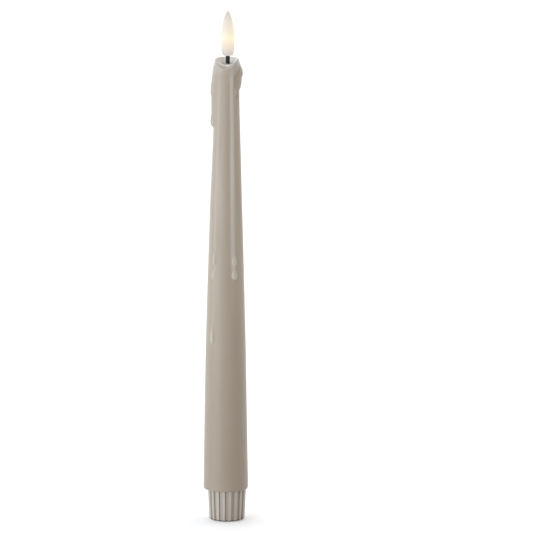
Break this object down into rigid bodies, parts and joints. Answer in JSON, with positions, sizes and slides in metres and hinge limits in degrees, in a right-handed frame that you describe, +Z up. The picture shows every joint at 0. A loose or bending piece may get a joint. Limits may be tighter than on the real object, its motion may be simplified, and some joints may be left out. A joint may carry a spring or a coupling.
{
  "type": "flameless LED candle",
  "caption": "Battery-lit taper candle: fluted foot with a mode switch, bayonet wax-coated shell with melted drips, and a glowing flame tip on a black wick.",
  "frame": {"origin": "centre of the foot's flat underside, on the candle's axis, where it stands", "axes": "+Z up the candle's axis to the flame tip; -Y is the front, with the notch in the melted rim; +X is the viewer's right and the direction in which the switch slider moves"},
  "size_m": [0.022, 0.022, 0.2556],
  "materials": {
    "wax": "satin warm greige wax, slightly translucent",
    "foot_plastic": "satin moulded plastic in the wax colour",
    "flame": "milky translucent diffuser, lit warm white from within",
    "wick": "matt black braided sleeve",
    "slider_plastic": "satin black plastic with three grip lines",
    "switch_plastic": "satin black plastic",
    "board_laminate": "green glass-epoxy laminate",
    "gold_plate": "gold-flashed track",
    "tinned_metal": "tinned pins",
    "screw_steel": "zinc-plated steel",
    "spring_steel": "nickel-plated spring wire",
    "chip_epoxy": "black epoxy",
    "capacitor_ceramic": "buff ceramic",
    "resistor_film": "dark glazed ceramic",
    "cradle_plastic": "natural white moulded plastic",
    "cell_can": "plain nickel-plated can",
    "cell_jacket": "glossy shrink jacket, plain bands",
    "contact_metal": "nickel-flashed brass",
    "liner_plastic": "natural ivory moulded plastic",
    "plug_plastic": "moulded plastic in the wax colour",
    "led_lens": "clear warm epoxy dome",
    "lead_red": "red insulated lead",
    "lead_black": "black insulated lead",
    "block_plastic": "black moulded plastic"
  },
  "bodies": {
    "foot": {"foot_cup": "foot_plastic", "control_board": "board_laminate", "slip_ring": "gold_plate", "switch_housing": "switch_plastic", "switch_pins": "tinned_metal", "board_screws": "screw_steel", "battery_spring": "spring_steel", "timer_chip": "chip_epoxy", "bypass_capacitor": "capacitor_ceramic", "chip_resistors": "resistor_film"},
    "switch_slider": {"switch_slider": "slider_plastic"},
    "cradle": {"battery_cradle": "cradle_plastic", "battery_lower_can": "cell_can", "battery_lower_jacket": "cell_jacket", "battery_upper_can": "cell_can", "battery_upper_jacket": "cell_jacket", "positive_contact": "contact_metal", "return_strip": "contact_metal"},
    "shell": {"liner_tube": "liner_plastic", "wax_coat": "wax", "wick_plug": "plug_plastic", "wick_sleeve": "wick", "flame_diffuser": "flame", "led_emitter": "led_lens", "led_lead_positive": "lead_red", "led_lead_negative": "lead_black", "contact_block": "block_plastic", "centre_contact": "contact_metal", "crown_contact": "contact_metal"}
  },
  "joints": [
    {"name": "foot_twist", "type": "hinge", "parent": "foot", "child": "cradle", "pos_m": [0, 0, 0.0125], "axis": [0, 0, 1], "range_deg": [0, 35]},
    {"name": "shell_lift", "type": "slide", "parent": "cradle", "child": "shell", "axis": [0, 0, 1], "range_m": [0, 0.1]},
    {"name": "mode_slide", "type": "slide", "parent": "foot", "child": "switch_slider", "axis": [1, 0, 0], "range_m": [-0.002, 0.002]}
  ]
}
